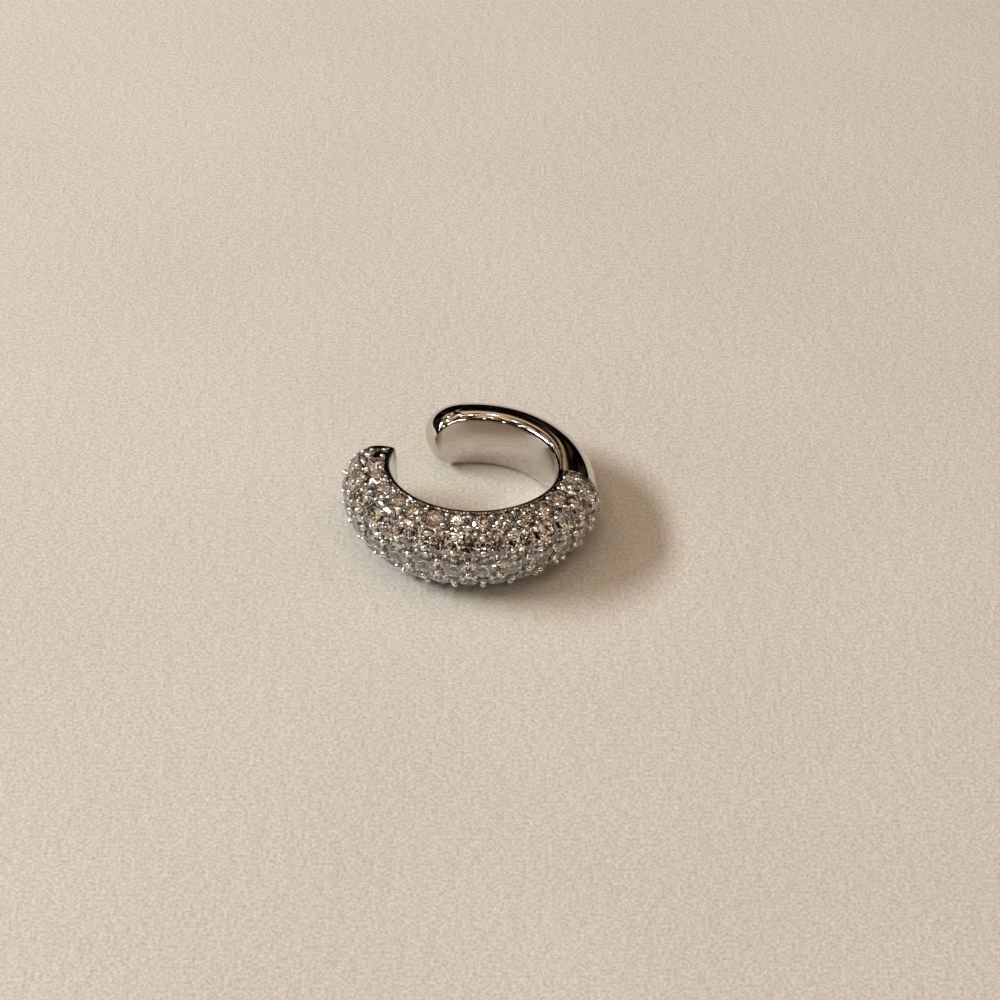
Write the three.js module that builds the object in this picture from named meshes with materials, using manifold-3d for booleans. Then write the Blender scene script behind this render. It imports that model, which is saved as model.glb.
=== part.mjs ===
// Ear cuff: an open hoop of polished white metal that carries a domed crescent of pave-set stones.
// Millimetres, +Z up. The cuff lies on its side, so its hoop is level and its lower edge is at z = 0.
// Angles are in degrees, seen from above, and run from +X towards +Y. The stones face -Y.

import * as THREE from 'three';
import { mergeVertices } from 'three/addons/utils/BufferGeometryUtils.js';
import Module from 'manifold-3d';

// the hoop: an arc of the circle that closes round the ear's edge
const innerRadius = 3.9;
const tipAngle = 157.6;
const tailAngle = 479.2;

// the wall is thinnest opposite the opening and thickens towards both ends
const thinWall = 1.9;
const endWall = 2.23;

// the polished band's section: a slightly crowned inner face, rounded inner corners, narrow sides and a dome
const innerCrown = 0.08;
const bandWidth = 3.05;
const bandCornerRadius = 0.34;
const bandSideFlat = 0.16;

// the head's section, which is wider and has sharper corners
const headWidth = 3.85;
const tipWidth = 3.25;
const headCornerRadius = 0.18;
const headSideFlat = 0.08;
const cornerBlendAngle = 36;

// the metal between the stones: how far its edges lie inside the hoop's sides, and how deep under the dome
const settingDrop = 0.16;
const settingSink = 0.12;

// the rounded ends of the hoop, and the end cap that is left plain at the tip.
// An end draws in at these turns of a quarter circle, by the turn's cosine to the power of a fullness:
// its width to a round tongue and its dome towards the inner face, which ends in a rounded corner.
const tipRounding = 0.4;
const tailRounding = 1.5;
const endTurns = [20, 40, 55, 68, 80, 90];
const endWidthFullness = 0.8;
const endWallFullness = 0.6;
const endCornerRadius = 0.34;
const endFaceShare = 0.3;
const endCapAngle = 4.4;

// the recess that the pave head sits in
const headEndAngle = 358.5;
const linerThickness = 0.24;
const seatClearance = 0.03;
const recessOverrun = 4;

// the thin arched rim that closes each end of the stones
const rimWidth = 0.17;
const rimStand = 0.08;
const rimFootLift = 0.03;

// stones: five rows on the dome, evenly spaced from the crest to as near its edges as they fit.
// The middle row has a stone at the named angle, and the other stones are stepped off from it.
// The diameters are those at the middle of the head, where the dome is widest.
const middleStoneAngle = 261;
const stonePitch = 1.39;
const middleStoneDiameter = 1.2;
const innerRowStoneDiameter = 1.12;
const outerRowStoneDiameter = 0.92;
const endStoneDiameter = 0.58;
const stoneSides = 8;
const girdleLift = -0.03;
const outerGirdleLift = -0.05;
const girdleDepth = 0.22;
const tableShare = 0.58;
const crownShare = 0.145;
const girdleThickness = 0.03;

// the prong beads between the stones and along the outer rows
const beadDiameter = 0.32;
const edgeBeadDiameter = 0.26;
const beadLift = 0.12;
const edgeBeadLift = 0.03;
const beadSides = 6;
const prongDepth = 0.4;
const edgeBeadShare = 0.94;
const beadShare = 0.29;
const tipBeadShares = [0.17, 0.34, 0.52, 0.7];

// how finely the hoop is stepped: degrees along it, the shortest first or last step's share of these,
// and the steps of the inner face, a corner and the dome in its section
const arcStep = 6;
const leastStepShare = 0.25;
const innerSteps = 4;
const cornerSteps = 3;
const domeSteps = 12;

// degrees between the points that the dome's outline is measured at
const arcTurn = 0.5;

// points closer than the first are one, and faces closer to one plane than the second are joined
const weldDistance = 1e-5;
const flatTolerance = 0.003;

// finish
const metalColor = 0xdedddb;
const paveColor = 0xcfd0d2;

const wasm = await Module();
wasm.setup();

const toRadians = THREE.MathUtils.degToRad;
const toDegrees = THREE.MathUtils.radToDeg;
const recessStartAngle = tipAngle + endCapAngle;
const widestAngle = (tipAngle + headEndAngle) / 2;
const crestRadius = innerRadius + thinWall;

// Turns a closed geometry into a solid that can be joined and cut.
function toSolid(geometry) {
  const bare = geometry.index ? geometry.toNonIndexed() : geometry.clone();
  bare.deleteAttribute('normal');
  bare.deleteAttribute('uv');
  const merged = mergeVertices(bare, weldDistance);
  return new wasm.Manifold(new wasm.Mesh({
    numProp: 3,
    vertProperties: new Float32Array(merged.getAttribute('position').array),
    triVerts: new Uint32Array(merged.index.array),
  }));
}

// Gives a solid back as a geometry.
function toGeometry(solid) {
  const mesh = solid.getMesh();
  const geometry = new THREE.BufferGeometry();
  geometry.setAttribute('position', new THREE.BufferAttribute(new Float32Array(mesh.vertProperties), 3));
  geometry.setIndex(new THREE.BufferAttribute(new Uint32Array(mesh.triVerts), 1));
  geometry.computeVertexNormals();
  return geometry;
}

// A point of the hoop: its angle, its distance out from the inner face and its height.
function hoopPoint(angle, out, height) {
  const radius = innerRadius + out;
  const turn = toRadians(angle);
  return new THREE.Vector3(radius * Math.cos(turn), radius * Math.sin(turn), height);
}

// How far an angle lies along the head: 0 at its middle and 1 at and beyond its ends.
function headShare(angle) {
  const halfHead = (headEndAngle - tipAngle) / 2;
  return Math.min(1, Math.abs(angle - (tipAngle + halfHead)) / halfHead);
}

// The hoop's width grows smoothly to the middle of the head.
function widthAt(angle) {
  const endWidth = angle < widestAngle ? tipWidth : bandWidth;
  return endWidth + (headWidth - endWidth) * (1 - headShare(angle) ** 2);
}

function thicknessAt(angle) {
  const halfArc = (tailAngle - tipAngle) / 2;
  const towardsEnd = Math.abs(angle - (tipAngle + halfArc)) / halfArc;
  return thinWall + (endWall - thinWall) * towardsEnd ** 2;
}

// The corners and sides ease from the head's sizes to the band's, past the head's end.
function bandBlendAt(angle) {
  return THREE.MathUtils.smoothstep(angle, headEndAngle, headEndAngle + cornerBlendAngle);
}

function cornerRadiusAt(angle) {
  return THREE.MathUtils.lerp(headCornerRadius, bandCornerRadius, bandBlendAt(angle));
}

function domeStartAt(angle) {
  return cornerRadiusAt(angle) + THREE.MathUtils.lerp(headSideFlat, bandSideFlat, bandBlendAt(angle));
}

// A point of the dome at an angle round its elliptic section: -90 at the lower edge, 90 at the upper.
// The drop is how far the dome's edges lie inside the hoop's two sides.
function domePoint(angle, turn, drop) {
  const middle = widthAt(angle) / 2;
  const start = domeStartAt(angle);
  const rise = thicknessAt(angle) - start;
  return {
    out: start + rise * Math.cos(toRadians(turn)),
    height: middle + (middle - drop) * Math.sin(toRadians(turn)),
  };
}

// The dome's section as points from the upper edge over the crest to the lower edge.
function domeOutline(angle, drop) {
  const points = [];
  for (let i = 0; i <= domeSteps; i += 1) {
    points.push(domePoint(angle, 90 - (180 * i) / domeSteps, drop));
  }
  return points;
}

// A rounded inner corner, from the inner face to the side.
function cornerOutline(angle, steps) {
  const radius = cornerRadiusAt(angle);
  const points = [];
  for (let i = 0; i <= steps; i += 1) {
    const turn = (Math.PI / 2) * (i / steps);
    points.push({ out: radius - radius * Math.cos(turn), inset: radius - radius * Math.sin(turn) });
  }
  return points;
}

// The crowned inner face between the corners, from below upwards.
function innerOutline(angle) {
  const radius = cornerRadiusAt(angle);
  const points = [];
  for (let i = 1; i < innerSteps; i += 1) {
    const share = i / innerSteps;
    const bulge = innerCrown * (1 - (2 * share - 1) ** 2);
    points.push({ out: -bulge, height: THREE.MathUtils.lerp(radius, widthAt(angle) - radius, share) });
  }
  return points;
}

// The whole section of the hoop: the upper corner, the dome, the lower corner and the inner face.
function hoopOutline(angle) {
  const width = widthAt(angle);
  const corner = cornerOutline(angle, cornerSteps);
  const upper = corner.map((point) => ({ out: point.out, height: width - point.inset }));
  const lower = corner.map((point) => ({ out: point.out, height: point.inset })).reverse();
  return [...upper, ...domeOutline(angle, 0), ...lower, ...innerOutline(angle)];
}

// Draws a section in towards the middle of the hoop's width and a distance out from its inner face.
function shrunkOutline(outline, angle, innerOut, wallShare, widthShare) {
  const middle = widthAt(angle) / 2;
  const thinning = wallShare * (1 - innerOut / thicknessAt(angle));
  return outline.map((point) => ({
    out: innerOut + point.out * thinning,
    height: middle + (point.height - middle) * widthShare,
  }));
}

// A closed body through sections of equally many points, with flat ends.
function loft(sections) {
  const count = sections[0].length;
  const positions = sections.flat().flatMap((point) => [point.x, point.y, point.z]);
  const indices = [];
  for (let s = 0; s < sections.length - 1; s += 1) {
    for (let i = 0; i < count; i += 1) {
      const a = s * count + i;
      const b = s * count + ((i + 1) % count);
      indices.push(a, b, a + count, b, b + count, a + count);
    }
  }
  const last = (sections.length - 1) * count;
  for (let i = 1; i < count - 1; i += 1) {
    indices.push(0, i + 1, i);
    indices.push(last, last + i, last + i + 1);
  }
  const geometry = new THREE.BufferGeometry();
  geometry.setAttribute('position', new THREE.Float32BufferAttribute(positions, 3));
  geometry.setIndex(indices);
  return geometry;
}

// The angles of the sections from one angle to another, on steps that every piece shares.
function sectionAngles(from, to) {
  const recessArc = headEndAngle - recessStartAngle;
  const step = recessArc / Math.round(recessArc / arcStep);
  const least = step * leastStepShare;
  const first = Math.ceil((from + least - recessStartAngle) / step);
  const last = Math.floor((to - least - recessStartAngle) / step);
  const between = [];
  for (let i = first; i <= last; i += 1) {
    between.push(recessStartAngle + i * step);
  }
  return [from, ...between, to];
}

// How far out the inner face has turned, at a distance from the hoop's end.
function endCornerOut(distance) {
  const inset = Math.max(0, endCornerRadius - distance);
  return endCornerRadius - Math.sqrt(endCornerRadius ** 2 - inset ** 2);
}

// The sections that round an end off over a length of the inner face, from the full section outwards.
function roundedEnd(fullAngle, endAngle, rounding) {
  return endTurns.map((turn) => {
    const innerOut = endCornerOut(rounding * (1 - Math.sin(toRadians(turn))));
    const wallShare = Math.max(endFaceShare, Math.cos(toRadians(turn)) ** endWallFullness);
    const widthShare = Math.max(endFaceShare, Math.cos(toRadians(turn)) ** endWidthFullness);
    const angle = fullAngle + (endAngle - fullAngle) * Math.sin(toRadians(turn));
    const outline = shrunkOutline(hoopOutline(angle), angle, innerOut, wallShare, widthShare);
    return outline.map((point) => hoopPoint(angle, point.out, point.height));
  });
}

// The hoop as one full body from the tip to the tail.
function hoopBody() {
  const tipFull = tipAngle + toDegrees(tipRounding / innerRadius);
  const tailFull = tailAngle - toDegrees(tailRounding / innerRadius);
  const tip = roundedEnd(tipFull, tipAngle, tipRounding).reverse();
  const full = sectionAngles(tipFull, tailFull).map((angle) => (
    hoopOutline(angle).map((point) => hoopPoint(angle, point.out, point.height))
  ));
  return loft([...tip, ...full, ...roundedEnd(tailFull, tailAngle, tailRounding)]);
}

// The space that the pave head takes up: all that lies outside the liner, between the cap and the band.
function recessBody() {
  const outermost = endWall + recessOverrun;
  const highest = headWidth + recessOverrun;
  const sections = sectionAngles(recessStartAngle, headEndAngle).map((angle) => [
    hoopPoint(angle, linerThickness, highest),
    hoopPoint(angle, outermost, highest),
    hoopPoint(angle, outermost, -recessOverrun),
    hoopPoint(angle, linerThickness, -recessOverrun),
  ]);
  return loft(sections);
}

// The polished band: back band, tail, end cap, and the liner under the stones.
function bandSolid() {
  return toSolid(hoopBody()).subtract(toSolid(recessBody())).asOriginal().simplify(flatTolerance);
}

// The metal of the head, a dome that is cut off flat where it sits on the liner.
function settingBody() {
  const seat = linerThickness + seatClearance;
  const clearAngle = toDegrees(seatClearance / innerRadius);
  const sections = sectionAngles(recessStartAngle + clearAngle, headEndAngle - clearAngle).map((angle) => {
    const share = 1 - settingSink / thicknessAt(angle);
    const dome = domeOutline(angle, settingDrop).map((point) => ({
      out: seat + (point.out - seat) * share,
      height: point.height,
    })).filter((point) => point.out > seat + girdleThickness);
    const upper = { out: seat, height: dome[0].height };
    const lower = { out: seat, height: dome[dome.length - 1].height };
    return [upper, ...dome, lower].map((point) => hoopPoint(angle, point.out, point.height));
  });
  return loft(sections);
}

// An arched rim that stands proud of the dome, between two angles. Its foot is inside the setting.
function rimBody(from, to) {
  const foot = linerThickness + seatClearance + rimFootLift;
  const sections = [from, to].map((angle) => {
    const share = 1 + rimStand / thicknessAt(angle);
    const middle = widthAt(angle) / 2;
    const raised = domeOutline(angle, settingDrop).filter((point) => point.out > foot).map((point) => ({
      out: foot + (point.out - foot) * share,
      height: middle + (point.height - middle) * share,
    }));
    const upper = { out: foot, height: raised[0].height };
    const lower = { out: foot, height: raised[raised.length - 1].height };
    return [upper, ...raised, lower].map((point) => hoopPoint(angle, point.out, point.height));
  });
  return loft(sections);
}

// The dome's outline as small steps from the crest to its edge, with the length travelled at each.
function domeSteppedArc(angle) {
  const half = widthAt(angle) / 2 - settingDrop;
  const rise = thicknessAt(angle) - domeStartAt(angle);
  const steps = [{ turn: 0, length: 0 }];
  for (let turn = arcTurn; turn <= 90; turn += arcTurn) {
    const middle = toRadians(turn - arcTurn / 2);
    const length = Math.hypot(rise * Math.sin(middle), half * Math.cos(middle)) * toRadians(arcTurn);
    steps.push({ turn, length: steps[steps.length - 1].length + length });
  }
  return steps;
}

// How long the dome's outline is beside that at the middle of the head: stones shrink with it.
function domeScaleAt(angle) {
  return domeSteppedArc(angle).pop().length / domeSteppedArc(widestAngle).pop().length;
}

// The angle round the section at a share of the way from the crest (0) to an edge (1 or -1).
function turnAtShare(angle, share) {
  const steps = domeSteppedArc(angle);
  const wanted = Math.abs(share) * steps[steps.length - 1].length;
  return steps.find((step) => step.length >= wanted).turn * Math.sign(share);
}

// A frame on the dome's surface: its place, with the third axis pointing out of the surface.
function domeFrame(angle, share, lift) {
  const half = widthAt(angle) / 2 - settingDrop;
  const rise = thicknessAt(angle) - domeStartAt(angle);
  const turn = turnAtShare(angle, share);
  const point = domePoint(angle, turn, settingDrop);
  const normalOut = Math.cos(toRadians(turn)) / rise;
  const normalUp = Math.sin(toRadians(turn)) / half;
  const along = new THREE.Vector3(-Math.sin(toRadians(angle)), Math.cos(toRadians(angle)), 0);
  const radial = new THREE.Vector3(Math.cos(toRadians(angle)), Math.sin(toRadians(angle)), 0);
  const normal = radial.multiplyScalar(normalOut).add(new THREE.Vector3(0, 0, normalUp)).normalize();
  const across = new THREE.Vector3().crossVectors(normal, along);
  const place = hoopPoint(angle, point.out, point.height).addScaledVector(normal, lift);
  return new THREE.Matrix4().makeBasis(along, across, normal).setPosition(place);
}

// A cut stone seen from its girdle: an eight-sided table, eight crown facets and its upright edge.
function stoneGeometry(diameter) {
  const radius = diameter / 2;
  const profile = [
    [0, -girdleDepth],
    [radius, -girdleDepth],
    [radius, girdleThickness],
    [radius * tableShare, girdleThickness + diameter * crownShare],
    [0, girdleThickness + diameter * crownShare],
  ];
  const points = profile.map(([x, y]) => new THREE.Vector2(x, y));
  return new THREE.LatheGeometry(points, stoneSides).rotateX(Math.PI / 2);
}

// The angle that one stone takes up along the crest of the head.
function pitchAngle() {
  return toDegrees(stonePitch / crestRadius);
}

// The angles of one row's stones, as many as fit between the end rims.
function rowAngles(inStepWithMiddle, diameter) {
  const reach = toDegrees((diameter / 2 + rimWidth / 2) / crestRadius);
  const angles = [];
  const shift = inStepWithMiddle ? 0 : 0.5;
  const most = Math.ceil((headEndAngle - recessStartAngle) / pitchAngle());
  for (let i = -most; i <= most; i += 1) {
    const angle = middleStoneAngle + (i + shift) * pitchAngle();
    if (angle - reach > recessStartAngle && angle + reach < headEndAngle) {
      angles.push(angle);
    }
  }
  return angles;
}

// The outer row's share of the way from the crest to the dome's edge: there its stones meet the seat.
function outerRowShare() {
  const radius = outerRowStoneDiameter / 2;
  const arc = domeSteppedArc(widestAngle);
  const meeting = arc.find((step) => {
    const inward = radius * Math.sin(toRadians(step.turn));
    return domePoint(widestAngle, step.turn, settingDrop).out - inward < linerThickness + seatClearance;
  });
  return meeting.length / arc[arc.length - 1].length;
}

// The rows of stones on one side of the crest, from the crest outwards.
const endReach = toDegrees((endStoneDiameter / 2 + rimWidth) / crestRadius);
const tipStoneAngle = recessStartAngle + endReach;
const headEndStoneAngle = headEndAngle - endReach;
const stoneRows = [
  {
    share: 0,
    diameter: middleStoneDiameter,
    lift: girdleLift,
    inStep: true,
    endStones: [tipStoneAngle, headEndStoneAngle],
  },
  {
    share: outerRowShare() / 2,
    diameter: innerRowStoneDiameter,
    lift: girdleLift,
    inStep: false,
    endStones: [],
  },
  {
    share: outerRowShare(),
    diameter: outerRowStoneDiameter,
    lift: outerGirdleLift,
    inStep: true,
    endStones: [headEndStoneAngle],
  },
];

// The places of the stones: the rows, and the small stones at their ends.
function stonePlaces() {
  const places = [];
  for (const row of stoneRows) {
    for (const side of row.share === 0 ? [1] : [1, -1]) {
      const share = row.share * side;
      for (const angle of rowAngles(row.inStep, row.diameter)) {
        places.push({ angle, share, diameter: row.diameter * domeScaleAt(angle), lift: row.lift });
      }
      for (const angle of row.endStones) {
        places.push({ angle, share, diameter: endStoneDiameter, lift: row.lift });
      }
    }
  }
  return places;
}

function stoneSolids() {
  return stonePlaces().map((place) => {
    const frame = domeFrame(place.angle, place.share, place.lift);
    return toSolid(stoneGeometry(place.diameter).applyMatrix4(frame));
  });
}

// The places of the prong beads: one in each three-cornered space between stones, an outer line along
// each edge and a line beside the rim at the tip.
function beadPlaces() {
  const tipBeadAngle = recessStartAngle + toDegrees((rimWidth + edgeBeadDiameter / 2) / crestRadius);
  const places = tipBeadShares.map((share) => (
    { angle: tipBeadAngle, share, diameter: edgeBeadDiameter, lift: edgeBeadLift }
  ));
  for (let i = 0; i < stoneRows.length - 1; i += 1) {
    const inner = stoneRows[i];
    const outer = stoneRows[i + 1];
    const step = outer.share - inner.share;
    for (const angle of rowAngles(outer.inStep, outer.diameter)) {
      places.push({ angle, share: inner.share + step * beadShare, diameter: beadDiameter, lift: beadLift });
    }
    for (const angle of rowAngles(inner.inStep, inner.diameter)) {
      places.push({ angle, share: outer.share - step * beadShare, diameter: beadDiameter, lift: beadLift });
    }
  }
  const last = stoneRows[stoneRows.length - 1];
  for (const angle of rowAngles(!last.inStep, last.diameter)) {
    places.push({ angle, share: edgeBeadShare, diameter: edgeBeadDiameter, lift: edgeBeadLift });
  }
  return places;
}

// A prong: a short post out of the metal, with a pointed head in place of its round bead.
function prongGeometry(diameter) {
  const radius = diameter / 2;
  const profile = [[0, -prongDepth], [radius, -prongDepth], [radius, 0], [0, radius]];
  const points = profile.map(([x, y]) => new THREE.Vector2(x, y));
  return new THREE.LatheGeometry(points, beadSides).rotateX(Math.PI / 2);
}

function beadSolids() {
  const solids = [];
  for (const place of beadPlaces()) {
    for (const side of [1, -1]) {
      const frame = domeFrame(place.angle, place.share * side, place.lift);
      const diameter = place.diameter * domeScaleAt(place.angle);
      solids.push(toSolid(prongGeometry(diameter).applyMatrix4(frame)));
    }
  }
  return solids;
}

// The pave head: its setting, end rims, stones and prong beads, fused into one body.
function headSolid() {
  const rimAngle = toDegrees(rimWidth / crestRadius);
  const clearAngle = toDegrees(seatClearance / innerRadius);
  const from = recessStartAngle + clearAngle;
  const to = headEndAngle - clearAngle;
  const rims = [toSolid(rimBody(from, from + rimAngle)), toSolid(rimBody(to - rimAngle, to))];
  const head = wasm.Manifold.union([toSolid(settingBody()), ...rims, ...stoneSolids(), ...beadSolids()]);
  return head.asOriginal().simplify(flatTolerance);
}

function namedMesh(name, solid, color, roughness) {
  const material = new THREE.MeshStandardMaterial({ color, metalness: 1, roughness });
  const mesh = new THREE.Mesh(toGeometry(solid), material);
  mesh.name = name;
  return mesh;
}

const cuff = new THREE.Group();
cuff.add(namedMesh('cuff_band', bandSolid(), metalColor, 0.12));
cuff.add(namedMesh('pave_head', headSolid(), paveColor, 0.1));

// stand the cuff with the middle of its outline over the origin
const outline = new THREE.Box3().setFromObject(cuff, true);
const middle = outline.getCenter(new THREE.Vector3());
cuff.position.set(-middle.x, -middle.y, -outline.min.z);

export default cuff;
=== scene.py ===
"""Ear cuff: a polished open hoop with a domed head of pave-set stones, lying on a pale floor."""

import math

import bmesh
import bpy
import numpy as np
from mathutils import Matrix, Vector


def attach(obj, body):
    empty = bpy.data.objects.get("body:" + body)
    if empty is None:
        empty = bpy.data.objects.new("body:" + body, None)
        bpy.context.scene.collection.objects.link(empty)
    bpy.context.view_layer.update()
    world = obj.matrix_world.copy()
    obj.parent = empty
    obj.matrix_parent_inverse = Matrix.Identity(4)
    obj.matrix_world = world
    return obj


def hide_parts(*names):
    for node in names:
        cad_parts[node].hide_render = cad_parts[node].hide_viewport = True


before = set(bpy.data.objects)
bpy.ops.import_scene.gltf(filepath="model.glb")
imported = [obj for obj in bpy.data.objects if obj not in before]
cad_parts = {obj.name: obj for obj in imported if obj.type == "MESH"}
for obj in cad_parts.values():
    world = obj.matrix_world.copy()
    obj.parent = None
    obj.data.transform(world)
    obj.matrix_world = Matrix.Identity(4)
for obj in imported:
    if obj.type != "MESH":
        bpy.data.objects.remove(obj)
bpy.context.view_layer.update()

# lengths below are in millimetres, and become metres where a mesh is made
MM = 0.001

# the hoop's axis in the frame, and its arc in degrees from +X towards +Y
AXIS_X = 0.1447
AXIS_Y = 0.0257
INNER_RADIUS = 3.9
TIP_ANGLE = 157.6
TAIL_ANGLE = 479.2
THIN_WALL = 1.9
END_WALL = 2.23

# sections of the band and of the head
INNER_CROWN = 0.08
BAND_WIDTH = 3.05
TIP_WIDTH = 3.25
HEAD_WIDTH = 3.85
BAND_CORNER = 0.34
HEAD_CORNER = 0.18
BAND_SIDE_FLAT = 0.16
HEAD_SIDE_FLAT = 0.08
SETTING_DROP = 0.16
SETTING_SINK = 0.12
CORNER_BLEND = 36.0
TIP_ROUNDING = 0.4
TAIL_ROUNDING = 1.5
END_WIDTH_FULLNESS = 0.8
END_WALL_FULLNESS = 0.6
END_CORNER = 0.34
END_THINNEST = 0.02

# the recess for the head, past the cap at the tip, and the rims that close it
CAP_ARC = 4.4
RECESS_START = TIP_ANGLE + CAP_ARC
HEAD_END = 358.5
LINER = 0.24
SEAT_CLEARANCE = 0.03
RIM_WIDTH = 0.17
RIM_STAND = 0.08

# a rim's rounding, as shares of its width and of its height, and where the plain dome begins past it
RIM_PROFILE = ((0, 0.8), (0.1, 0.95), (0.25, 1), (0.7, 1), (0.88, 0.87), (0.97, 0.5), (1.0, 0))
PAST_RIM = 1.1

# how fine the meshes are: steps round a section, and degrees between sections
CORNER_STEPS = 8
DOME_STEPS = 72
INNER_STEPS = 20
END_STEPS = 24
ARC_SAMPLES = 361
CAP_PITCH = 0.8
SECTION_PITCH = 1.0

# distances in metres under which points are one point and edges are no edges
SAME_POINT = 1e-8
NO_EDGE = 1e-9

# degrees between faces from which their edge looks sharp
BAND_SHARP = 35
SETTING_SHARP = 28
BEAD_SHARP = 60

# stones and prong beads
MIDDLE_STONE_ANGLE = 261
STONE_PITCH = 1.39
MIDDLE_STONE_DIAMETER = 1.2
INNER_ROW_DIAMETER = 1.12
OUTER_ROW_DIAMETER = 0.92
END_STONE_DIAMETER = 0.58
GIRDLE_LIFT = -0.03
OUTER_GIRDLE_LIFT = -0.05
BEAD_DIAMETER = 0.32
EDGE_BEAD_DIAMETER = 0.26
BEAD_LIFT = 0.12
EDGE_BEAD_LIFT = 0.03
EDGE_BEAD_SHARE = 0.94
BEAD_SHARE = 0.29
TIP_BEAD_SHARES = (0.17, 0.34, 0.52, 0.7)

# fine grains of metal raised between the beads
GRAIN_DIAMETERS = (0.2, 0.25)
GRAIN_LIFT = -0.02

# a bead's post, and the turns in degrees at which its round head is drawn
POST_SHARE = 0.9
POST_DEPTH = 0.4
BEAD_TURNS = (-15, 0, 15, 30, 45, 60, 75, 86)
BEAD_SIDES = 20

# the seat bored under a stone, as shares of the stone's radius
SEAT_BOTTOM_SHARE = 0.22
SEAT_DEPTH_SHARE = 0.93
SEAT_LEDGE_SHARE = 0.95
SEAT_LEDGE_DEPTH = 0.09
SEAT_SIDES = 32

# the seat's bevel: how far it goes beyond the stone's radius, and at which height
SEAT_BEVEL = ((0.02, -0.05), (0.1, 0.03), (0.2, 0.5))

# a cut stone whose girdle has the radius 1: radii, height of the girdle, and slopes in degrees
TABLE_RADIUS = 0.56
STAR_RADIUS = 0.78
LOWER_RADIUS = 0.24
GIRDLE_HEIGHT = 0.045
CROWN_SLOPE = 34.2
PAVILION_SLOPE = 40.9

# how often the stone's facets repeat round it, and the sides of its girdle
FOLDS = 8
GIRDLE_SIDES = 4 * FOLDS

# degrees by which each stone is turned against the one before
STONE_TURN = 47.0

# more stones each way from the middle one than a row has room for
MOST_STONES = 20

# what follows from the lengths and angles above
CREST_RADIUS = INNER_RADIUS + THIN_WALL
WIDEST_ANGLE = (TIP_ANGLE + HEAD_END) / 2
END_REACH = math.degrees((END_STONE_DIAMETER / 2 + RIM_WIDTH) / CREST_RADIUS)

# heights in metres of the metal's waves and scratches
WAVE_HEIGHT = 0.00003
SCRATCH_HEIGHT = 0.000004

# the floor: its size in metres, its two tones, and the heights in metres of its lumps and grain
FLOOR_SIZE = 1.2
FLOOR_DARKER = (0.646, 0.589, 0.507)
FLOOR_PALER = (0.682, 0.626, 0.543)
LUMP_HEIGHT = 0.00006
GRAIN_HEIGHT = 0.00002

# the camera: degrees it looks down, its place against the middle of the hoop, and its lens
CAMERA_DOWN = 40
CAMERA_DISTANCE = 130.0
CAMERA_ASIDE = 1.2235
CAMERA_BELOW = 0.494
CAMERA_MIDDLE_HEIGHT = 1.75
CAMERA_SENSOR = 36
CAMERA_LENS = 99.45
CAMERA_NEAR = 0.005

# lamps: distance in metres, direction from the cuff, size in degrees seen from it, power in watts
LAMP_DISTANCE = 0.5
KEY_TOWARDS = (-1.0, 0.12, 0.68)
KEY_WIDTH = 34.0
KEY_HEIGHT = 8.0
KEY_POWER = 2.35
KEY_COLOUR = (0.91, 0.98, 1.05)
GLINT_SIZE = 3.0
GLINT_POWER = 0.06
GLINT_COLOUR = (1.0, 0.97, 0.92)
GLINT_LAMPS = (
    (-0.45, -0.05, 0.89),
    (0.03, -0.17, 0.985),
    (0.31, -0.10, 0.945),
    (-0.8, -0.45, 0.45),
    (-0.2, -0.85, 0.55),
    (0.55, -0.6, 0.6),
    (-0.5, 0.6, 0.7),
    (0.85, -0.1, 0.5),
    (-0.55, -0.7, 0.3),
    (0.2, -0.95, 0.25),
    (-0.25, -0.45, 0.8),
    (0.6, 0.3, 0.75),
    (-0.1, 0.3, 0.9),
    (-0.7, -0.2, 0.7),
)

# light from the surroundings, by the height of its direction: 0 at the horizon and 1 overhead
SKY_TONES = ((0.0, 0.006), (0.45, 0.012), (0.57, 0.18), (0.72, 0.38), (1.0, 0.48))
SKY_LEFT = (0.86, 0.615, 0.39)
SKY_RIGHT = (0.9, 0.575, 0.345)
PATCHES_FROM = (2.0, 3.0, 9.0)


# the hoop's form

def smooth(low, high, value):
    t = min(1.0, max(0.0, (value - low) / (high - low)))
    return t * t * (3 - 2 * t)


def width_at(angle):
    share = min(1.0, abs(angle - WIDEST_ANGLE) / ((HEAD_END - TIP_ANGLE) / 2))
    end_width = TIP_WIDTH if angle < WIDEST_ANGLE else BAND_WIDTH
    return end_width + (HEAD_WIDTH - end_width) * (1 - share ** 2)


def wall_at(angle):
    half_arc = (TAIL_ANGLE - TIP_ANGLE) / 2
    towards_end = abs(angle - (TIP_ANGLE + half_arc)) / half_arc
    return THIN_WALL + (END_WALL - THIN_WALL) * towards_end ** 2


def corner_at(angle):
    blend = smooth(HEAD_END, HEAD_END + CORNER_BLEND, angle)
    return HEAD_CORNER + (BAND_CORNER - HEAD_CORNER) * blend


def dome_start_at(angle):
    blend = smooth(HEAD_END, HEAD_END + CORNER_BLEND, angle)
    return corner_at(angle) + HEAD_SIDE_FLAT + (BAND_SIDE_FLAT - HEAD_SIDE_FLAT) * blend


def hoop_point(angle, out, height):
    """A point of the hoop in metres: its angle, its distance from the inner face and its height."""
    radius = INNER_RADIUS + out
    turn = math.radians(angle)
    return Vector((AXIS_X + radius * math.cos(turn), AXIS_Y + radius * math.sin(turn), height)) * MM


def dome_point(angle, turn, drop):
    """A point of the elliptic dome: (out, height) at a turn of -90 to 90 degrees from its crest."""
    middle = width_at(angle) / 2
    rise = wall_at(angle) - dome_start_at(angle)
    out = dome_start_at(angle) + rise * math.cos(math.radians(turn))
    return out, middle + (middle - drop) * math.sin(math.radians(turn))


def dome_outline(angle, drop):
    return [dome_point(angle, 90 - 180 * i / DOME_STEPS, drop) for i in range(DOME_STEPS + 1)]


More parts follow.
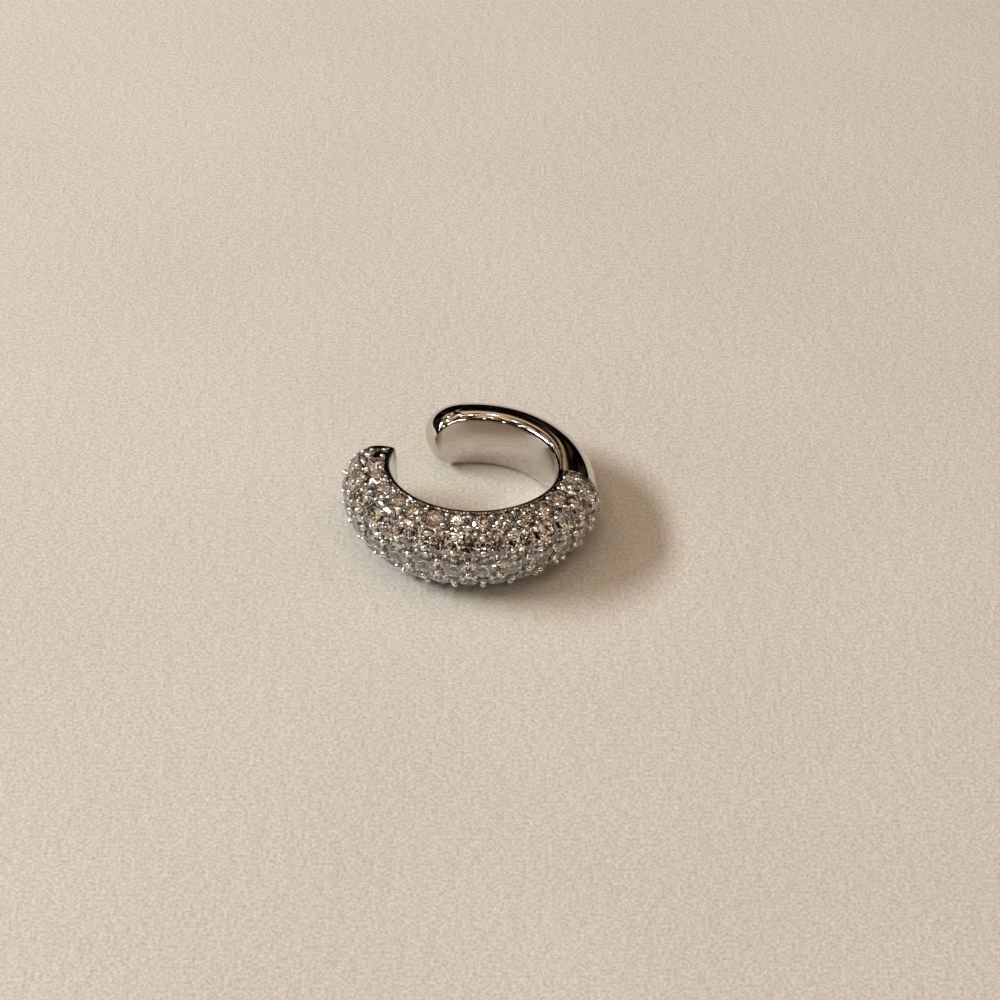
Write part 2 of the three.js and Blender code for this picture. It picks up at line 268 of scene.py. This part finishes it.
def hoop_outline(angle):
    """The hoop's whole section, from the inner face over the upper corner and the dome to the lower one."""
    width = width_at(angle)
    radius = corner_at(angle)
    corner = []
    for i in range(CORNER_STEPS + 1):
        turn = math.pi / 2 * i / CORNER_STEPS
        corner.append((radius - radius * math.cos(turn), radius - radius * math.sin(turn)))
    upper = [(out, width - inset) for out, inset in corner]
    lower = [(out, inset) for out, inset in reversed(corner)]
    inner = []
    for share in np.linspace(0, 1, INNER_STEPS + 1)[1:-1]:
        bulge = INNER_CROWN * (1 - (2 * share - 1) ** 2)
        inner.append((-bulge, radius + (width - 2 * radius) * share))
    return upper + dome_outline(angle, 0) + lower + inner


def dome_frame(angle, share, lift):
    """A place on the head's dome, its axes along, across and out of it, and the dome's half arc."""
    half = width_at(angle) / 2 - SETTING_DROP
    rise = wall_at(angle) - dome_start_at(angle)
    turns = np.linspace(0, math.pi / 2, ARC_SAMPLES)
    mids = (turns[1:] + turns[:-1]) / 2
    steps = np.hypot(rise * np.sin(mids), half * np.cos(mids)) * np.diff(turns)
    lengths = np.concatenate([[0], np.cumsum(steps)])
    turn = float(np.interp(abs(share) * lengths[-1], lengths, turns)) * (1 if share >= 0 else -1)
    out, height = dome_point(angle, math.degrees(turn), SETTING_DROP)
    a = math.radians(angle)
    along = Vector((-math.sin(a), math.cos(a), 0))
    radial = Vector((math.cos(a), math.sin(a), 0))
    normal = (radial * (math.cos(turn) / rise) + Vector((0, 0, math.sin(turn) / half))).normalized()
    place = hoop_point(angle, out, height) + normal * lift * MM
    return place, along, normal.cross(along), normal, float(lengths[-1])


MIDDLE_ARC = dome_frame(WIDEST_ANGLE, 0, 0)[4]


# where the stones and beads are

def outer_share():
    """How far out the outer row lies: there its stones meet the setting's seat."""
    a = math.radians(WIDEST_ANGLE)
    radial = Vector((math.cos(a), math.sin(a), 0))
    axis = Vector((AXIS_X, AXIS_Y, 0))
    for share in np.linspace(0.5, 1.0, 501):
        place, _, _, normal, _ = dome_frame(WIDEST_ANGLE, share, 0)
        out = (place / MM - axis).dot(radial) - INNER_RADIUS
        if out - OUTER_ROW_DIAMETER / 2 * normal.z < LINER + SEAT_CLEARANCE:
            return float(share)


OUTER_SHARE = outer_share()

# share of the dome, diameter, lift of the girdle, whether in step with the middle, small end stones
ROWS = (
    (0.0, MIDDLE_STONE_DIAMETER, GIRDLE_LIFT, True, (RECESS_START + END_REACH, HEAD_END - END_REACH)),
    (OUTER_SHARE / 2, INNER_ROW_DIAMETER, GIRDLE_LIFT, False, ()),
    (OUTER_SHARE, OUTER_ROW_DIAMETER, OUTER_GIRDLE_LIFT, True, (HEAD_END - END_REACH,)),
)


def row_angles(in_step, diameter):
    pitch = math.degrees(STONE_PITCH / CREST_RADIUS)
    reach = math.degrees((diameter / 2 + RIM_WIDTH / 2) / CREST_RADIUS)
    shift = 0 if in_step else 0.5
    angles = [MIDDLE_STONE_ANGLE + (i + shift) * pitch for i in range(-MOST_STONES, MOST_STONES)]
    return [a for a in angles if a - reach > RECESS_START and a + reach < HEAD_END]


def stone_places():
    """Each stone's angle, share of the dome, diameter and lift, row by row."""
    places = []
    for share, diameter, lift, in_step, end_angles in ROWS:
        for side in ((1,) if share == 0 else (1, -1)):
            for angle in row_angles(in_step, diameter):
                scale = dome_frame(angle, 0, 0)[4] / MIDDLE_ARC
                places.append((angle, share * side, diameter * scale, lift))
            for angle in end_angles:
                places.append((angle, share * side, END_STONE_DIAMETER, lift))
    return places


def bead_places():
    """The same for each bead: at the tip, between the rows, along the edge, and then the fine grains."""
    tip = RECESS_START + math.degrees((RIM_WIDTH + EDGE_BEAD_DIAMETER / 2) / CREST_RADIUS)
    places = [(tip, share, EDGE_BEAD_DIAMETER, EDGE_BEAD_LIFT) for share in TIP_BEAD_SHARES]
    for inner, outer in zip(ROWS, ROWS[1:]):
        step = outer[0] - inner[0]
        for angle in row_angles(outer[3], outer[1]):
            places.append((angle, inner[0] + step * BEAD_SHARE, BEAD_DIAMETER, BEAD_LIFT))
        for angle in row_angles(inner[3], inner[1]):
            places.append((angle, outer[0] - step * BEAD_SHARE, BEAD_DIAMETER, BEAD_LIFT))
    last = ROWS[-1]
    for angle in row_angles(not last[3], last[1]):
        places.append((angle, EDGE_BEAD_SHARE, EDGE_BEAD_DIAMETER, EDGE_BEAD_LIFT))
    quarter = math.degrees(STONE_PITCH / CREST_RADIUS) / 4
    for inner, outer, diameter in zip(ROWS, ROWS[1:], GRAIN_DIAMETERS):
        for angle in row_angles(False, diameter):
            for turned in (angle - quarter, angle + quarter):
                places.append((turned, (inner[0] + outer[0]) / 2, diameter, GRAIN_LIFT))
    return [(angle, share * side, d, lift) for angle, share, d, lift in places for side in (1, -1)]


# meshes

def new_piece(name, vertices, faces, smooth_angle=None):
    """A mesh object with doubled points welded and its faces turned out."""
    mesh = bpy.data.meshes.new(name)
    mesh.from_pydata([tuple(v) for v in vertices], [], faces)
    bm = bmesh.new()
    bm.from_mesh(mesh)
    bmesh.ops.remove_doubles(bm, verts=bm.verts, dist=SAME_POINT)
    bmesh.ops.dissolve_degenerate(bm, edges=bm.edges, dist=NO_EDGE)
    bmesh.ops.recalc_face_normals(bm, faces=bm.faces)
    bm.to_mesh(mesh)
    bm.free()
    piece = bpy.data.objects.new(name, mesh)
    bpy.context.scene.collection.objects.link(piece)
    if smooth_angle is not None:
        mesh.shade_smooth()
        mesh.set_sharp_from_angle(angle=math.radians(smooth_angle))
    return piece


def loft(sections):
    """Points and faces of a closed body through sections of equally many points."""
    count = len(sections[0])
    faces = []
    for s in range(len(sections) - 1):
        for i in range(count):
            a = s * count + i
            b = s * count + (i + 1) % count
            faces.append((a, b, b + count, a + count))
    last = (len(sections) - 1) * count
    faces.append(tuple(range(count - 1, -1, -1)))
    faces.append(tuple(range(last, last + count)))
    return [p for section in sections for p in section], faces


def steps_between(low, high, step):
    count = max(1, round((high - low) / step))
    return [low + (high - low) * i / count for i in range(count + 1)]


def placed(angle, outline):
    return [hoop_point(angle, out, height) for out, height in outline]


def rounded_end(full_angle, end_angle, rounding):
    """Sections that draw in to a round tongue, whose inner face ends in a rounded corner."""
    sections = []
    for i in range(1, END_STEPS + 1):
        turn = math.pi / 2 * i / END_STEPS
        inset = max(0.0, END_CORNER - rounding * (1 - math.sin(turn)))
        inner_out = END_CORNER - math.sqrt(max(0.0, END_CORNER ** 2 - inset ** 2))
        wall_share = max(END_THINNEST, math.cos(turn) ** END_WALL_FULLNESS)
        width_share = max(END_THINNEST, math.cos(turn) ** END_WIDTH_FULLNESS)
        angle = full_angle + (end_angle - full_angle) * math.sin(turn)
        thinning = wall_share * (1 - inner_out / wall_at(angle))
        middle = width_at(angle) / 2
        outline = [
            (inner_out + out * thinning, middle + (height - middle) * width_share)
            for out, height in hoop_outline(angle)
        ]
        sections.append(placed(angle, outline))
    return sections


def band_sections():
    """The band from tip to tail; under the stones its sections are cut off at the liner."""
    tip_full = TIP_ANGLE + math.degrees(TIP_ROUNDING / INNER_RADIUS)
    tail_full = TAIL_ANGLE - math.degrees(TAIL_ROUNDING / INNER_RADIUS)
    sections = rounded_end(tip_full, TIP_ANGLE, TIP_ROUNDING)[::-1]
    sections += [placed(a, hoop_outline(a)) for a in steps_between(tip_full, RECESS_START, CAP_PITCH)]
    for angle in steps_between(RECESS_START, HEAD_END, SECTION_PITCH):
        sections.append(placed(angle, [(min(out, LINER), height) for out, height in hoop_outline(angle)]))
    sections += [placed(a, hoop_outline(a)) for a in steps_between(HEAD_END, tail_full, SECTION_PITCH)]
    return sections + rounded_end(tail_full, TAIL_ANGLE, TAIL_ROUNDING)


def setting_sections():
    """The head's metal, a dome that ends at the liner, raised into a rim at each end."""
    seat = LINER + SEAT_CLEARANCE
    clear = math.degrees(SEAT_CLEARANCE / INNER_RADIUS)
    rim = math.degrees(RIM_WIDTH / CREST_RADIUS)
    start, end = RECESS_START + clear, HEAD_END - clear
    stations = [(start + rim * share, height) for share, height in RIM_PROFILE]
    between = steps_between(start + rim * PAST_RIM, end - rim * PAST_RIM, SECTION_PITCH)
    stations += [(angle, 0) for angle in between]
    stations += [(end - rim * share, height) for share, height in RIM_PROFILE[::-1]]
    sections = []
    for angle, rise in stations:
        scale = 1 + (RIM_STAND * rise - SETTING_SINK * (1 - rise)) / wall_at(angle)
        widening = 1 + RIM_STAND * rise / wall_at(angle)
        middle = width_at(angle) / 2
        outline = [
            (max(seat, seat + (out - seat) * scale), middle + (height - middle) * widening)
            for out, height in dome_outline(angle, SETTING_DROP)
        ]
        sections.append(placed(angle, outline))
    return sections


def cone(place, along, across, normal, profile, sides):
    """A turned body about the surface normal: profile is a list of (radius, height), in millimetres."""
    vertices = []
    for radius, height in profile:
        for k in range(sides):
            turn = 2 * math.pi * k / sides
            offset = along * radius * math.cos(turn) + across * radius * math.sin(turn) + normal * height
            vertices.append(place + offset * MM)
    faces = []
    for j in range(len(profile) - 1):
        for k in range(sides):
            a = j * sides + k
            b = j * sides + (k + 1) % sides
            faces.append((a, b, b + sides, a + sides))
    last = (len(profile) - 1) * sides
    faces.append(tuple(range(sides - 1, -1, -1)))
    faces.append(tuple(range(last, last + sides)))
    return vertices, faces


def joined(parts):
    """The points and faces of many bodies as those of one mesh."""
    vertices, faces = [], []
    for part_vertices, part_faces in parts:
        start = len(vertices)
        vertices += part_vertices
        faces += [tuple(i + start for i in face) for face in part_faces]
    return vertices, faces


def brilliant():
    """A round brilliant of girdle radius 1: corners and facets, with its girdle's top at height 0."""
    crown = math.tan(math.radians(CROWN_SLOPE))
    pavilion = math.tan(math.radians(PAVILION_SLOPE))
    half = math.radians(180 / FOLDS)
    points = []

    def ring(radius, height, shift, count):
        start = len(points)
        for k in range(count):
            turn = 2 * math.pi * k / count + shift
            points.append((radius * math.cos(turn), radius * math.sin(turn), height))
        return [start + k for k in range(count)]

    # rings of the table, of the crown, of the girdle's top and bottom, and of the pavilion
    table = ring(TABLE_RADIUS, (1 - TABLE_RADIUS) * crown, 0, FOLDS)
    star = ring(STAR_RADIUS, (1 - STAR_RADIUS * math.cos(half)) * crown, half, FOLDS)
    top = ring(1.0, 0.0, 0, GIRDLE_SIDES)
    bottom = ring(1.0, -GIRDLE_HEIGHT, 0, GIRDLE_SIDES)
    lower_height = -GIRDLE_HEIGHT - (1 - LOWER_RADIUS * math.cos(half)) * pavilion
    lower = ring(LOWER_RADIUS, lower_height, half, FOLDS)
    points.append((0, 0, -GIRDLE_HEIGHT - pavilion))
    culet = len(points) - 1
    faces = [tuple(table)]
    for k in range(FOLDS):
        after = (k + 1) % FOLDS
        before = (k - 1) % FOLDS
        here = 4 * k
        middle = here + 2
        end = (here + 4) % GIRDLE_SIDES
        faces.append((table[k], star[k], table[after]))
        faces.append((table[k], star[before], top[here], star[k]))
        faces.append((star[k], top[here], top[here + 1], top[middle]))
        faces.append((star[k], top[middle], top[middle + 1], top[end]))
        faces.append((bottom[middle], bottom[here + 1], bottom[here], lower[k]))
        faces.append((bottom[end], bottom[middle + 1], bottom[middle], lower[k]))
        faces.append((culet, lower[k], bottom[here], lower[before]))
    for k in range(GIRDLE_SIDES):
        after = (k + 1) % GIRDLE_SIDES
        faces.append((top[k], bottom[k], bottom[after], top[after]))
    return points, faces


# materials

def material(name):
    made = bpy.data.materials.new(name)
    made.use_nodes = True
    nodes, links = made.node_tree.nodes, made.node_tree.links
    return made, nodes, links, nodes["Principled BSDF"]


def noise(nodes, links, vector, scale, detail, distortion=0.0):
    """A noise texture; its scale counts grains to a unit of the vector, on an object to a metre."""
    made = nodes.new("ShaderNodeTexNoise")
    made.inputs["Scale"].default_value = scale
    made.inputs["Detail"].default_value = detail
    made.inputs["Distortion"].default_value = distortion
    links.new(vector, made.inputs["Vector"])
    return made.outputs["Fac"]


def remap(nodes, links, value, source, target):
    """A value moved from one range into another, and kept within it."""
    made = nodes.new("ShaderNodeMapRange")
    for end, bound in zip(("From Min", "From Max", "To Min", "To Max"), (*source, *target)):
        made.inputs[end].default_value = bound
    links.new(value, made.inputs["Value"])
    return made.outputs["Result"]


def bump(nodes, links, height, distance, strength=1.0, over=None):
    """A surface raised by a height map, over another bump's normal where one is given."""
    made = nodes.new("ShaderNodeBump")
    made.inputs["Strength"].default_value = strength
    made.inputs["Distance"].default_value = distance
    links.new(height, made.inputs["Height"])
    if over is not None:
        links.new(over, made.inputs["Normal"])
    return made.outputs["Normal"]


def metal_material(name, colour, roughness, wave, scratch):
    """Polished metal: slow waves left by hand polishing, hairline scratches and patchy gloss."""
    made, nodes, links, shader = material(name)
    shader.inputs["Metallic"].default_value = 1.0
    shader.inputs["Base Color"].default_value = (*colour, 1)
    where = nodes.new("ShaderNodeTexCoord").outputs["Object"]
    stretch = nodes.new("ShaderNodeMapping")
    stretch.inputs["Scale"].default_value = (1.0, 1.0, 0.08)
    stretch.inputs["Rotation"].default_value = (0.9, 0.5, 0.3)
    links.new(where, stretch.inputs["Vector"])
    slow = noise(nodes, links, where, scale=700.0, detail=2.0)
    fine = noise(nodes, links, where, scale=9000.0, detail=3.0)
    hair = noise(nodes, links, stretch.outputs["Vector"], scale=4000.0, detail=4.0, distortion=1.5)
    gloss = remap(nodes, links, fine, (0.35, 0.75), (roughness * 0.7, roughness * 1.8))
    links.new(gloss, shader.inputs["Roughness"])
    waves = bump(nodes, links, slow, WAVE_HEIGHT * wave)
    scratches = bump(nodes, links, hair, SCRATCH_HEIGHT, strength=scratch, over=waves)
    links.new(scratches, shader.inputs["Normal"])
    return made


def stone_material():
    """Clear colourless stone; a trace of haze and tint differs from stone to stone."""
    made, nodes, links, shader = material("clear_stone")
    shader.inputs["Transmission Weight"].default_value = 1.0
    shader.inputs["IOR"].default_value = 2.3
    stone = nodes.new("ShaderNodeNewGeometry").outputs["Random Per Island"]
    tint = nodes.new("ShaderNodeValToRGB")
    greenish, bluish = tint.color_ramp.elements
    greenish.color = (0.97, 0.985, 0.975, 1)
    bluish.color = (0.985, 0.98, 0.995, 1)
    links.new(stone, tint.inputs["Fac"])
    links.new(tint.outputs["Color"], shader.inputs["Base Color"])
    haze = remap(nodes, links, stone, (0.0, 1.0), (0.0, 0.03))
    links.new(haze, shader.inputs["Roughness"])
    return made


def floor_material():
    """Pale warm plaster: fine grain in tone and height, small specks and slow changes of tone."""
    made, nodes, links, shader = material("pale_plaster")
    where = nodes.new("ShaderNodeTexCoord").outputs["Object"]
    grain = noise(nodes, links, where, scale=6500.0, detail=3.0)
    lumps = noise(nodes, links, where, scale=1500.0, detail=4.0)
    cloud = noise(nodes, links, where, scale=70.0, detail=5.0)
    tone = nodes.new("ShaderNodeValToRGB")
    tone.color_ramp.elements[0].position = 0.3
    tone.color_ramp.elements[0].color = (*FLOOR_DARKER, 1)
    tone.color_ramp.elements[1].position = 0.7
    tone.color_ramp.elements[1].color = (*FLOOR_PALER, 1)
    links.new(cloud, tone.inputs["Fac"])
    speckle = remap(nodes, links, grain, (0.3, 0.7), (0.82, 1.18))
    grained = nodes.new("ShaderNodeVectorMath")
    grained.operation = "SCALE"
    links.new(tone.outputs["Color"], grained.inputs[0])
    links.new(speckle, grained.inputs["Scale"])
    links.new(grained.outputs["Vector"], shader.inputs["Base Color"])
    shader.inputs["Roughness"].default_value = 0.85
    shader.inputs["Specular IOR Level"].default_value = 0.25
    coarse = bump(nodes, links, lumps, LUMP_HEIGHT)
    fine = bump(nodes, links, grain, GRAIN_HEIGHT, over=coarse)
    links.new(fine, shader.inputs["Normal"])
    return made


# pieces

def make_band(metal):
    piece = new_piece("band_metal", *loft(band_sections()), smooth_angle=BAND_SHARP)
    piece.data.materials.append(metal)
    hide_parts("cuff_band")
    return piece


def make_setting(metal):
    """The head's metal, bored out under each stone."""
    piece = new_piece("pave_setting", *loft(setting_sections()))
    seats = []
    for angle, share, diameter, lift in stone_places():
        place, along, across, normal, _ = dome_frame(angle, share, lift)
        radius = diameter / 2
        profile = [(radius * SEAT_BOTTOM_SHARE, -radius * SEAT_DEPTH_SHARE)]
        profile.append((radius * SEAT_LEDGE_SHARE, -SEAT_LEDGE_DEPTH))
        profile += [(radius + beyond, height) for beyond, height in SEAT_BEVEL]
        seats.append(cone(place, along, across, normal, profile, SEAT_SIDES))
    cutter = new_piece("seat_cutter", *joined(seats))
    cut = piece.modifiers.new("seats", "BOOLEAN")
    cut.operation = "DIFFERENCE"
    cut.object = cutter
    cut.solver = "MANIFOLD"
    depsgraph = bpy.context.evaluated_depsgraph_get()
    cut_mesh = bpy.data.meshes.new_from_object(piece.evaluated_get(depsgraph))
    piece.modifiers.clear()
    piece.data = cut_mesh
    # the cut leaves an empty slot, which its faces would show instead of the metal
    cut_mesh.materials.clear()
    cut_mesh.shade_smooth()
    cut_mesh.set_sharp_from_angle(angle=math.radians(SETTING_SHARP))
    bpy.data.objects.remove(cutter)
    piece.data.materials.append(metal)
    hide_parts("pave_head")
    return piece


def make_stones(stone):
    points, facets = brilliant()
    parts = []
    for number, (angle, share, diameter, lift) in enumerate(stone_places()):
        place, along, across, normal, _ = dome_frame(angle, share, lift)
        radius = diameter / 2
        turn = math.radians(STONE_TURN * number)
        first = along * math.cos(turn) + across * math.sin(turn)
        second = across * math.cos(turn) - along * math.sin(turn)
        corners = [place + (first * x + second * y + normal * z) * radius * MM for x, y, z in points]
        parts.append((corners, facets))
    piece = new_piece("pave_stones", *joined(parts))
    piece.data.materials.append(stone)
    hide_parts("pave_head")
    return piece


def make_beads(metal):
    parts = []
    for angle, share, diameter, lift in bead_places():
        place, along, across, normal, arc = dome_frame(angle, share, lift)
        radius = diameter / 2 * arc / MIDDLE_ARC
        profile = [(radius * POST_SHARE, -POST_DEPTH)]
        for turn in BEAD_TURNS:
            profile.append((radius * math.cos(math.radians(turn)), radius * math.sin(math.radians(turn))))
        parts.append(cone(place, along, across, normal, profile, BEAD_SIDES))
    piece = new_piece("pave_beads", *joined(parts), smooth_angle=BEAD_SHARP)
    piece.data.materials.append(metal)
    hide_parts("pave_head")
    return piece


# stage

def make_floor():
    bpy.ops.mesh.primitive_plane_add(size=FLOOR_SIZE)
    floor = bpy.context.object
    floor.name = "floor"
    floor.data.materials.append(floor_material())


def make_camera():
    """Looks down along +Y, with the hoop a little left of the middle of the picture."""
    down = math.radians(CAMERA_DOWN)
    forward = Vector((0, math.cos(down), -math.sin(down)))
    right = Vector((1, 0, 0))
    up = right.cross(forward)
    middle = Vector((AXIS_X, AXIS_Y, CAMERA_MIDDLE_HEIGHT))
    place = middle - forward * CAMERA_DISTANCE + right * CAMERA_ASIDE - up * CAMERA_BELOW
    data = bpy.data.cameras.new("camera")
    data.sensor_width = CAMERA_SENSOR
    data.lens = CAMERA_LENS
    data.clip_start = CAMERA_NEAR
    camera = bpy.data.objects.new("camera", data)
    camera.location = place * MM
    camera.rotation_euler = (math.pi / 2 - down, 0, 0)
    bpy.context.scene.collection.objects.link(camera)
    bpy.context.scene.camera = camera


def lamp(name, towards, width, height, power, colour):
    """An oval lamp that faces the cuff from a direction; its width and height are angles seen from there."""
    data = bpy.data.lights.new(name, "AREA")
    data.shape = "ELLIPSE"
    data.size = 2 * LAMP_DISTANCE * math.tan(math.radians(width / 2))
    data.size_y = 2 * LAMP_DISTANCE * math.tan(math.radians(height / 2))
    data.energy = power
    data.color = colour
    made = bpy.data.objects.new(name, data)
    made.location = Vector(towards).normalized() * LAMP_DISTANCE
    made.rotation_euler = made.location.to_track_quat("Z", "Y").to_euler()
    bpy.context.scene.collection.objects.link(made)


def make_world():
    """A dim warm room: near black round the horizon, and lighter overhead in patches."""
    world = bpy.data.worlds.new("studio")
    world.use_nodes = True
    bpy.context.scene.world = world
    nodes, links = world.node_tree.nodes, world.node_tree.links
    where = nodes.new("ShaderNodeTexCoord").outputs["Generated"]
    split = nodes.new("ShaderNodeSeparateXYZ")
    links.new(where, split.inputs["Vector"])
    height = nodes.new("ShaderNodeValToRGB")
    stops = height.color_ramp.elements
    horizon, *between, overhead = SKY_TONES
    for stop, (position, tone) in zip(stops, (horizon, overhead)):
        stop.position = position
        stop.color = (tone, tone, tone, 1)
    for position, tone in between:
        stops.new(position).color = (tone, tone, tone, 1)
    links.new(split.outputs["Z"], height.inputs["Fac"])
    moved = nodes.new("ShaderNodeVectorMath")
    moved.inputs[1].default_value = PATCHES_FROM
    links.new(where, moved.inputs[0])
    patches = noise(nodes, links, moved.outputs["Vector"], scale=5.5, detail=1.0)
    contrast = remap(nodes, links, patches, (0.5, 0.64), (0.04, 4.0))
    side = remap(nodes, links, split.outputs["X"], (-0.2, 0.7), (0.0, 1.0))
    tint = nodes.new("ShaderNodeMix")
    tint.data_type = "RGBA"
    tint.inputs["A"].default_value = (*SKY_LEFT, 1)
    tint.inputs["B"].default_value = (*SKY_RIGHT, 1)
    links.new(side, tint.inputs["Factor"])
    tinted = nodes.new("ShaderNodeMix")
    tinted.data_type = "RGBA"
    tinted.blend_type = "MULTIPLY"
    tinted.inputs["Factor"].default_value = 1.0
    links.new(tint.outputs["Result"], tinted.inputs["A"])
    links.new(height.outputs["Color"], tinted.inputs["B"])
    links.new(tinted.outputs["Result"], nodes["Background"].inputs["Color"])
    links.new(contrast, nodes["Background"].inputs["Strength"])


def main():
    make_camera()
    make_floor()
    make_world()
    lamp("key", KEY_TOWARDS, KEY_WIDTH, KEY_HEIGHT, KEY_POWER, KEY_COLOUR)
    for number, towards in enumerate(GLINT_LAMPS):
        lamp(f"glint_{number}", towards, GLINT_SIZE, GLINT_SIZE, GLINT_POWER, GLINT_COLOUR)
    band_metal = metal_material(
        "polished_band", colour=(0.68, 0.645, 0.60), roughness=0.06, wave=0.1, scratch=0.15
    )
    # the setting's metal is greyer than the band's: painted shade for the dark gaps between the stones
    setting_metal = metal_material(
        "worked_setting_painted_shade", colour=(0.6, 0.58, 0.55), roughness=0.08, wave=0.25, scratch=0.2
    )
    bead_metal = metal_material(
        "polished_beads", colour=(0.85, 0.82, 0.78), roughness=0.05, wave=0.2, scratch=0.1
    )
    pieces = (
        make_band(band_metal),
        make_setting(setting_metal),
        make_stones(stone_material()),
        make_beads(bead_metal),
    )
    for piece in pieces:
        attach(piece, "root")
    scene = bpy.context.scene
    scene.view_settings.view_transform = "Standard"
    scene.cycles.max_bounces = 20
    scene.cycles.transmission_bounces = 16
    scene.cycles.glossy_bounces = 12
    scene.cycles.sample_clamp_indirect = 6.0


main()
